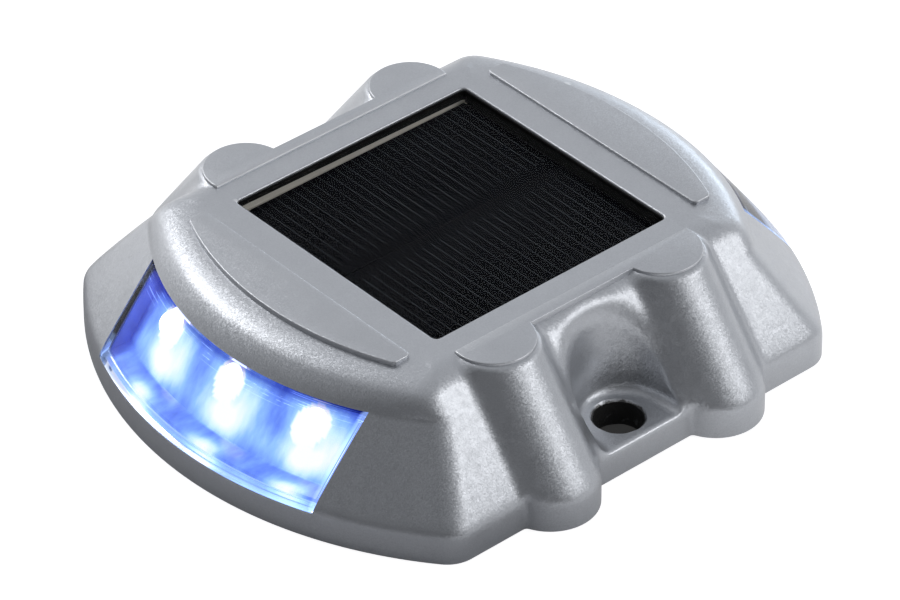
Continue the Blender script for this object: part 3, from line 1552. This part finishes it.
@dataclass
class BaseCover:
    """The underside: a ribbed cover, its gasket and four cross-head screws."""

    thick: float = 2.4
    well: Point3 = (5.2, 1.2, 2.5)  # radius, depth, bore
    switch: Point2 = (0.0, -8.0)
    groove: float = 0.35
    screw: Point2 = (29.5, 32.0)
    rim: tuple[float, float, float, float] = (58.1, 71.5, 34.9, 4.0)  # reach, radius, side, corner
    gasket_wide: float = 2.0

    def cover(self) -> bpy.types.Object:
        """The moulded cover, with shallow glue grooves, screw wells and the button's well."""
        outline = Casting.barrel(*self.rim, 0)[:, :2]
        made = eased_plate("base_cover", outline, 0, self.thick, 0.3, both=True)
        for y in np.arange(-48, 49, 8.0):
            if abs(y - self.switch[1]) < 7:
                continue
            half = 22 if abs(y) < 40 else 14
            bar = rounded_rectangle(0, y, half, 1.1, 1.0)
            rings = [at_height(bar, -1), at_height(bar, 0.01), at_height(inset(bar, 0.25), self.groove)]
            combine(made, loft("groove", rings), "DIFFERENCE")
        x, y = self.switch
        wide, deep, bore = self.well
        for r, top in ((wide, deep), (bore, 9)):
            combine(made, loft("well", [at_height(circle(x, y, r), z) for z in (-1, top)]), "DIFFERENCE")
        for sx in SIGNS:
            for sy in SIGNS:
                place = (sx * self.screw[0], sy * self.screw[1], 0)
                for profile in ([(3.25, -1), (3.25, 0), (3.0, 0.25), (3.0, 1.5)], [(1.8, -1), (1.8, 9)]):
                    combine(made, lathe("sunk", profile, place), "DIFFERENCE")
        for sx in SIGNS:
            for y in (-23, 7):
                post = lathe("post", [(2.0, 2.3), (2.0, 7.7), (1.8, 7.9)], (sx * 21, y, 0), sides=32)
                combine(made, post, "UNION")
        smooth(made)
        return finish_piece(made, BLACK_PLASTIC, "black_plastic", Body.CASING, "bottom_cover")

    def gasket(self) -> bpy.types.Object:
        """The flat ring between the cover and the casting's ledge."""
        low, high = node_box("bottom_gasket")
        outline = Casting.barrel(*self.rim, 0)[:, :2]
        outer = eased_plate("base_gasket", outline, low.z, high.z, 0.1, both=True)
        inner = [size - self.gasket_wide for size in self.rim[:3]]
        gap = loft("gap", [Casting.barrel(*inner, self.rim[3], z) for z in (low.z - 1, high.z + 1)])
        combine(outer, gap, "DIFFERENCE")
        smooth(outer)
        return finish_piece(outer, RUBBER, "seal_rubber", Body.CASING, "bottom_gasket")

    def screws(self) -> None:
        """The four screws, with threads and a tapered cross recess."""
        for i in range(1, 5):
            node = f"cover_screw_{i}"
            low, high = node_box(node)
            x, y, foot = (low.x + high.x) / 2, (low.y + high.y) / 2, low.z
            long = high.z - foot
            head = [(2.3, 0), (2.6, 0.15), (2.7, 0.4), (2.7, 1.1), (2.6, 1.2)]
            turns = np.arange(1.6, long - 1.2, 0.8)
            thread = [(r, h + up) for h in turns for r, up in ((1.2, 0), (1.5, 0.3), (1.5, 0.4), (1.2, 0.7))]
            profile = [*head, (1.25, 1.25), *thread, (1.1, long - 0.4), (0.6, long)]
            made = lathe(f"cover_screw_{i}_bright", profile, (x, y, foot), sides=36)
            for half_x, half_y in ((1.5, 0.34), (0.34, 1.5)):
                wide = rounded_rectangle(x, y, half_x, half_y, 0.1)
                slot = loft("slot", [at_height(wide, foot - 0.5), at_height(wide, foot),
                                     at_height(inset(wide, 0.12), foot + 0.8)])
                combine(made, slot, "DIFFERENCE")
            smooth(made)
            finish_piece(made, STEEL, "screw_steel", Body.CASING, node)

    def build(self) -> None:
        """Makes the cover, the gasket and the screws."""
        self.cover()
        self.gasket()
        self.screws()


# ---- Electronics ----


@dataclass
class Electronics:
    """The cell in its cradle and the main board with its parts."""

    cell: tuple[float, float, float, float] = (7.0, 49.0, 20.0, 10.4)  # radius, length, y, z
    tip: Point2 = (2.6, 0.8)  # radius, height

    def battery(self) -> bpy.types.Object:
        """The cylindrical cell with rounded ends, a crimped neck and a raised contact."""
        r, long, y, z = self.cell
        tip_r, tip_high = self.tip
        foot = [(r - 1.2, 0), (r - 0.5, 0.15), (r, 0.7)]
        neck = [(r, long - 3.2), (r - 0.5, long - 2.8), (r - 0.5, long - 2.2), (r, long - 1.8)]
        shoulder = [(r, long - 0.6), (r - 0.6, long), (tip_r + 0.3, long), (tip_r, long + 0.15)]
        contact = [(tip_r, long + tip_high - 0.2), (tip_r - 0.3, long + tip_high)]
        profile = [*foot, *neck, *shoulder, *contact]
        made = lathe("battery_sleeve", profile, (-long / 2, y, z), (1, 0, 0), 56)
        return finish_piece(made, BLUE_SLEEVE, "cell_sleeve", Body.CASING, "battery_cell")

    def cradle(self) -> bpy.types.Object:
        """The saddle that holds the cell off the cover."""
        low, high = node_box("battery_cradle")
        r, _, y, z = self.cell
        made = block("cell_cradle", low, high)
        seat = lathe("seat", [(r + 0.3, 0), (r + 0.3, 60)], (-30, y, z), (1, 0, 0), 64)
        combine(made, seat, "DIFFERENCE")
        notch = block("notch", (low.x / 2, low.y - 1, z - r), (high.x / 2, high.y + 1, high.z + 1))
        combine(made, notch, "DIFFERENCE")
        ease_edges(made, 0.2)
        return finish_piece(made, BLACK_PLASTIC, "black_plastic", Body.CASING, "battery_cradle")

    def board_parts(self) -> None:
        """The main board, the chip, the wound coil's block and the can."""
        low, high = node_box("main_board")
        outline = rounded_rectangle(0, (low.y + high.y) / 2, high.x, (high.y - low.y) / 2, 1)
        board = smooth(eased_plate("main_circuit", outline, low.z, high.z, 0.1, both=True))
        finish_piece(board, BoardMask(), "circuit_board", Body.CASING, "main_board")
        low, high = node_box("charge_chip")
        chip = block("charge_chip_body", low, high, 0.2)
        finish_piece(chip, BLACK_CHIP, "chip", Body.CASING, "charge_chip")
        low, high = node_box("inductor")
        half = (high.x - low.x) / 2
        outline = rounded_rectangle(low.x + half, low.y + half, half, half, 1.5)
        coil = smooth(eased_plate("inductor_block", outline, low.z, high.z, 0.5, both=True))
        finish_piece(coil, BLACK_CHIP, "chip", Body.CASING, "inductor")
        low, high = node_box("capacitor")
        r, tall = (high.x - low.x) / 2, high.z - low.z
        can = [(r - 0.3, 0), (r, 0.3), (r, 1.1), (r - 0.25, 1.4), (r - 0.25, 1.7), (r, 2.0), (r, tall - 0.4),
               (r - 0.4, tall)]
        made = lathe("capacitor_can", can, ((low.x + high.x) / 2, (low.y + high.y) / 2, low.z))
        finish_piece(made, BRIGHT_CAN, "capacitor_can", Body.CASING, "capacitor")

    def build(self) -> None:
        """Makes the cell, its cradle and the board's parts."""
        self.battery()
        self.cradle()
        self.board_parts()


# ---- Push switch ----


@dataclass
class PushSwitch:
    """The switch in the underside: a body, a sprung button and a wiper seal."""

    place: Point2 = (0.0, -8.0)
    spring_r: float = 2.0
    wire_r: float = 0.2
    turns: int = 3

    def button(self) -> bpy.types.Object:
        """The plunger with its flange and a dished, eased tip."""
        low, high = node_box("switch_button")
        foot = low.z
        tip = [(1.2, 0.12), (1.5, 0), (1.9, 0), (2.15, 0.15), (2.2, 0.4)]
        flange = [(2.2, 1.95), (2.8, 2.0), (2.9, 2.1), (2.9, high.z - foot - 0.1), (2.8, high.z - foot)]
        profile = [*tip, *flange]
        made = lathe("button_cap", profile, (*self.place, foot), sides=48)
        return finish_piece(made, RED_CAP, "button_rubber", Body.BUTTON, "switch_button")

    def body(self) -> bpy.types.Object:
        """The switch's square body with a round bore."""
        low, high = node_box("switch_body")
        made = block("switch_case", low, high, 0.3)
        bore = lathe("bore", [(3.2, -1), (3.2, 7.2)], (*self.place, 0))
        combine(made, bore, "DIFFERENCE")
        smooth(made)
        return finish_piece(made, BLACK_PLASTIC, "black_plastic", Body.CASING, "switch_body")

    def seal(self) -> bpy.types.Object:
        """The washer that wipes the button."""
        low, high = node_box("switch_seal")
        outer, tall = (high.x - low.x) / 2, high.z - low.z
        made = lathe("wiper_seal", [(outer - 0.1, 0), (outer, 0.1), (outer, tall - 0.1), (outer - 0.1, tall)],
                     (*self.place, low.z))
        combine(made, lathe("bore", [(2.35, -1), (2.35, 4)], (*self.place, 0)), "DIFFERENCE")
        smooth(made)
        return finish_piece(made, RUBBER, "seal_rubber", Body.CASING, "switch_seal")

    def spring(self) -> bpy.types.Object:
        """The coil spring above the button, which shortens as the button is pressed."""
        low, high = node_box("switch_spring")
        t = np.linspace(0, 1, self.turns * 24 + 1)
        angle = t * self.turns * 2 * math.pi
        x, y = self.place
        route = np.column_stack([x + self.spring_r * np.cos(angle), y + self.spring_r * np.sin(angle),
                                 mix(low.z + self.wire_r, high.z - self.wire_r, t)])
        made = tube("button_spring", route, self.wire_r, 10)
        finish_piece(made, STEEL, "screw_steel", Body.CASING, "switch_spring")
        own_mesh(made)
        return made

    def build(self) -> None:
        """Makes the switch's pieces."""
        self.body()
        self.button()
        self.seal()
        self.spring()


# ---- Leads ----


@dataclass
class Leads:
    """The wires inside, each along its real route."""

    radius: float = 0.6
    board_foot: float = 10.0
    panel_foot: float = 20.2

    def routes(self) -> dict[str, tuple[Colour, str, list[Point3]]]:
        """Each lead's colour, slot and route."""
        red, black, white = (0.36, 0.015, 0.012), (0.012, 0.012, 0.013), (0.62, 0.62, 0.58)
        foot, top = self.board_foot, self.panel_foot
        made: dict[str, tuple[Colour, str, list[Point3]]] = {}
        for name, x, colour, slot in (("panel_lead_positive", -4, red, "lead_red"),
                                      ("panel_lead_negative", 2, black, "lead_black")):
            made[name] = (colour, slot, [(x, -12, top), (x, -12, top - 3), (x - 3, -7, 13),
                                         (x - 3, -5, foot + 2), (x - 3, -5, foot)])
        for name, s, colour, slot in (("battery_lead_positive", 1, red, "lead_red"),
                                      ("battery_lead_negative", -1, black, "lead_black")):
            made[name] = (colour, slot, [(s * 25.5, 18, 13.4), (s * 27.9, 16, 13.4), (s * 26.5, 11, 13.4),
                                         (s * 21.5, 7, foot + 2), (s * 21.5, 7, foot)])
        made["front_led_lead"] = (white, "lead_white", [(-4, -38.7, 14.5), (-4, -35.8, 14.5), (-4, -29, 13.5),
                                                        (-4, -25, foot + 2), (-4, -25, foot)])
        made["rear_led_lead"] = (white, "lead_white", [(6, 38.7, 14.5), (6, 34.8, 15), (6, 28, 17.6),
                                                       (6, 20, 18.2), (6, 12, 16), (6, 8, foot + 2),
                                                       (6, 8, foot)])
        return made

    def build(self) -> None:
        """Makes every lead."""
        for node, (colour, slot, points) in self.routes().items():
            made = tube(f"{node}_wire", smooth_route(points), self.radius)
            finish_piece(made, WireSleeve(colour=colour), slot, Body.CASING, node)


# ---- Studio ----


@dataclass(frozen=True)
class SoftLight:
    """A soft glow in the surround, brightest in one direction."""

    towards: Point3
    spread: float
    glow: float
    colour: Colour = (1.0, 1.0, 1.0)

    def shine(self, tree: bpy.types.NodeTree, way: Socket) -> Socket:
        """Adds the light's nodes.

        Args:
            tree: the surround's nodes.
            way: the direction that is looked at.

        Returns:
            The light's colour and strength in that direction.
        """
        near = tree.nodes.new("ShaderNodeVectorMath")
        near.operation = "DOT_PRODUCT"
        near.inputs[1].default_value = Vector(self.towards).normalized()
        tree.links.new(way, near.inputs[0])
        fall = tree.nodes.new("ShaderNodeMath")
        fall.operation = "MULTIPLY_ADD"
        sharp = 1 / (1 - math.cos(math.radians(self.spread)))
        fall.inputs[1].default_value = sharp
        fall.inputs[2].default_value = -sharp
        tree.links.new(near.outputs["Value"], fall.inputs[0])
        shape = tree.nodes.new("ShaderNodeMath")
        shape.operation = "EXPONENT"
        tree.links.new(fall.outputs[0], shape.inputs[0])
        colour = tree.nodes.new("ShaderNodeVectorMath")
        colour.operation = "SCALE"
        colour.inputs[0].default_value = Vector(self.colour) * self.glow
        tree.links.new(shape.outputs[0], colour.inputs["Scale"])
        return colour.outputs[0]


@dataclass(frozen=True)
class PaleFloor(Finish):
    """A plain pale floor, which is dark only where it lies under the bolt holes."""

    title = "pale_floor"
    hole_x: float = 42.7
    back_glow: float = 0.55
    covered_x: float = 47.0
    covered_r: float = 72.0
    arc_y: float = -13.4
    hole_edge: Point2 = (5.0, 7.0)
    white: float = 0.85
    side: Point2 = (35.0, 1.2)  # start, slant
    glow_y: Point3 = (-10.0, 60.0, 0.9)  # start, end, slant

    def open_below(self, graph: Graph, open_floor: Socket) -> None:
        """Shows the stud from below, with its underside lit through the floor that it covers."""
        x, _, _ = graph.axes()
        between = graph.math("LESS_THAN", graph.math("ABSOLUTE", x), self.covered_x * MM)
        within = graph.math("LESS_THAN", graph.apart(0, self.arc_y), self.covered_r * MM)
        to_eye = graph.add("ShaderNodeLightPath").outputs["Is Camera Ray"]
        through = graph.product(between, within, open_floor, graph.math("SUBTRACT", 1.0, to_eye))
        behind = graph.add("ShaderNodeNewGeometry").outputs["Backfacing"]
        graph.clear_where(graph.math("MAXIMUM", behind, through))

    def draw(self, graph: Graph) -> None:
        """Lays a matt white with faint cloudiness, lit for the eye and, behind the stud, in mirrors."""
        cloud = graph.noise(120, detail=2)
        start, stop = self.hole_edge
        open_floor = graph.fit(graph.apart(self.hole_x, 0), start * MM, stop * MM, 0.03, 1)
        self.open_below(graph, open_floor)
        graph.set(Base_Color=graph.colours(open_floor, (0.01, 0.01, 0.01), (0.5, 0.5, 0.51)), Roughness=0.9)
        rays = graph.add("ShaderNodeLightPath")
        seen = graph.product(rays.outputs["Is Camera Ray"], self.white)
        x, y, _ = graph.axes()
        (near, slant), (low, high, along) = self.side, self.glow_y
        aside = graph.product(graph.math("SUBTRACT", graph.math("ABSOLUTE", x), near * MM), slant)
        behind = graph.math("ADD", graph.product(y, along), aside)
        mirrored = graph.fit(behind, low * MM, high * MM, 0, self.back_glow)
        glow = graph.product(graph.math("MAXIMUM", seen, mirrored), open_floor)
        white = graph.colours(cloud, (0.97, 0.97, 0.97), (1, 1, 1))
        graph.set(Emission_Color=white, Emission_Strength=glow, Specular_IOR_Level=0.0)


@dataclass
class Studio:
    """The floor, the lights, the surrounding grey and the camera."""

    azimuth: float = math.radians(48.83)
    elevation: float = math.radians(36.85)
    roll: float = math.radians(-0.11)
    away: float = 900.0
    target: Point3 = (0.0, 0.0, 12.0)
    slide: Point2 = (-0.09, -4.92)
    lens: float = 209.6
    sensor: float = 36.0
    clip: Point2 = (0.05, 20.0)
    floor_r: float = 2500.0
    floor_z: float = -0.03
    bright_side: Point3 = (-0.55, 0.65, 0.52)
    bright_from: Point2 = (-0.6, 1.0)
    greys: Point2 = (0.10, 0.64)
    tint: Point3 = (0.98, 1.0, 1.04)
    lights: tuple[SoftLight, ...] = (
        SoftLight((0.64, 0.54, 0.54), 14, 3.0),
        SoftLight((0.85, 0.22, 0.46), 14, 1.05),
        SoftLight((-0.73, -0.09, 0.68), 10, 6.4),
        SoftLight((-0.93, -0.10, 0.35), 15, 0.5),
        SoftLight((-0.97, 0.0, 0.10), 20, 0.85),
        SoftLight((-0.20, 0.97, 0.08), 22, 0.8),
        SoftLight((-0.48, 0.87, 0.08), 8, 3.2, (0.72, 0.86, 1.0)),
    )

    def camera(self) -> None:
        """Sets the camera at its angle and distance."""
        a, e = self.azimuth, self.elevation
        back = Vector((math.sin(a) * math.cos(e), -math.cos(a) * math.cos(e), math.sin(e)))
        right = Vector((math.cos(a), math.sin(a), 0))
        up = back.cross(right)
        turn = Matrix((right, up, back)).transposed() @ Matrix.Rotation(self.roll, 3, "Z")
        place = Vector(self.target) + back * self.away + right * self.slide[0] + up * self.slide[1]
        data = bpy.data.cameras.new("camera")
        data.lens = self.lens
        data.sensor_width = self.sensor
        data.clip_start, data.clip_end = self.clip
        made = bpy.data.objects.new("camera", data)
        made.matrix_world = Matrix.Translation(place * MM) @ turn.to_4x4()
        bpy.context.scene.collection.objects.link(made)
        bpy.context.scene.camera = made

    def surround(self) -> None:
        """The studio that the stud mirrors, darker in front and with soft lights, but white to the eye."""
        world = bpy.data.worlds.new("studio")
        bpy.context.scene.world = world
        world.use_nodes = True
        tree = world.node_tree
        tree.nodes.clear()
        way = tree.nodes.new("ShaderNodeTexCoord").outputs["Generated"]
        facing = tree.nodes.new("ShaderNodeVectorMath")
        facing.operation = "DOT_PRODUCT"
        facing.inputs[1].default_value = Vector(self.bright_side).normalized()
        tree.links.new(way, facing.inputs[0])
        ramp = tree.nodes.new("ShaderNodeMapRange")
        for socket, number in zip(ramp.inputs[1:], (*self.bright_from, *self.greys)):
            socket.default_value = number
        tree.links.new(facing.outputs["Value"], ramp.inputs[0])
        tinted = tree.nodes.new("ShaderNodeVectorMath")
        tinted.operation = "SCALE"
        tinted.inputs[0].default_value = self.tint
        tree.links.new(ramp.outputs[0], tinted.inputs["Scale"])
        total = tinted.outputs[0]
        for light in self.lights:
            adding = tree.nodes.new("ShaderNodeVectorMath")
            tree.links.new(total, adding.inputs[0])
            tree.links.new(light.shine(tree, way), adding.inputs[1])
            total = adding.outputs[0]
        mirrored, seen = (tree.nodes.new("ShaderNodeBackground") for _ in range(2))
        tree.links.new(total, mirrored.inputs["Color"])
        seen.inputs["Color"].default_value = (1, 1, 1, 1)
        rays = tree.nodes.new("ShaderNodeLightPath")
        choose = tree.nodes.new("ShaderNodeMixShader")
        output = tree.nodes.new("ShaderNodeOutputWorld")
        tree.links.new(rays.outputs["Is Camera Ray"], choose.inputs[0])
        tree.links.new(mirrored.outputs[0], choose.inputs[1])
        tree.links.new(seen.outputs[0], choose.inputs[2])
        tree.links.new(choose.outputs[0], output.inputs["Surface"])

    def floor(self) -> None:
        """A pale floor a hair below the road surface's height."""
        ring = at_height(circle(0, 0, self.floor_r, 96), self.floor_z)
        made = make_object("floor", ring, [list(range(len(ring)))])
        made.data.materials.append(PaleFloor().material())

    def build(self) -> None:
        """Makes the camera, the surround, the floor and the lights."""
        bpy.context.scene.view_settings.view_transform = "Standard"
        self.camera()
        self.surround()
        self.floor()


def main() -> None:
    """Builds every sub-assembly around the frame, in order."""
    logging.basicConfig(level=logging.INFO, format="%(name)s: %(message)s")
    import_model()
    Studio().build()
    Casting().build()
    for end in End:
        LightUnit(end).build()
    for assembly in (SolarWindow(), BaseCover(), Electronics(), PushSwitch(), Leads()):
        assembly.build()


if __name__ == "__main__":
    main()
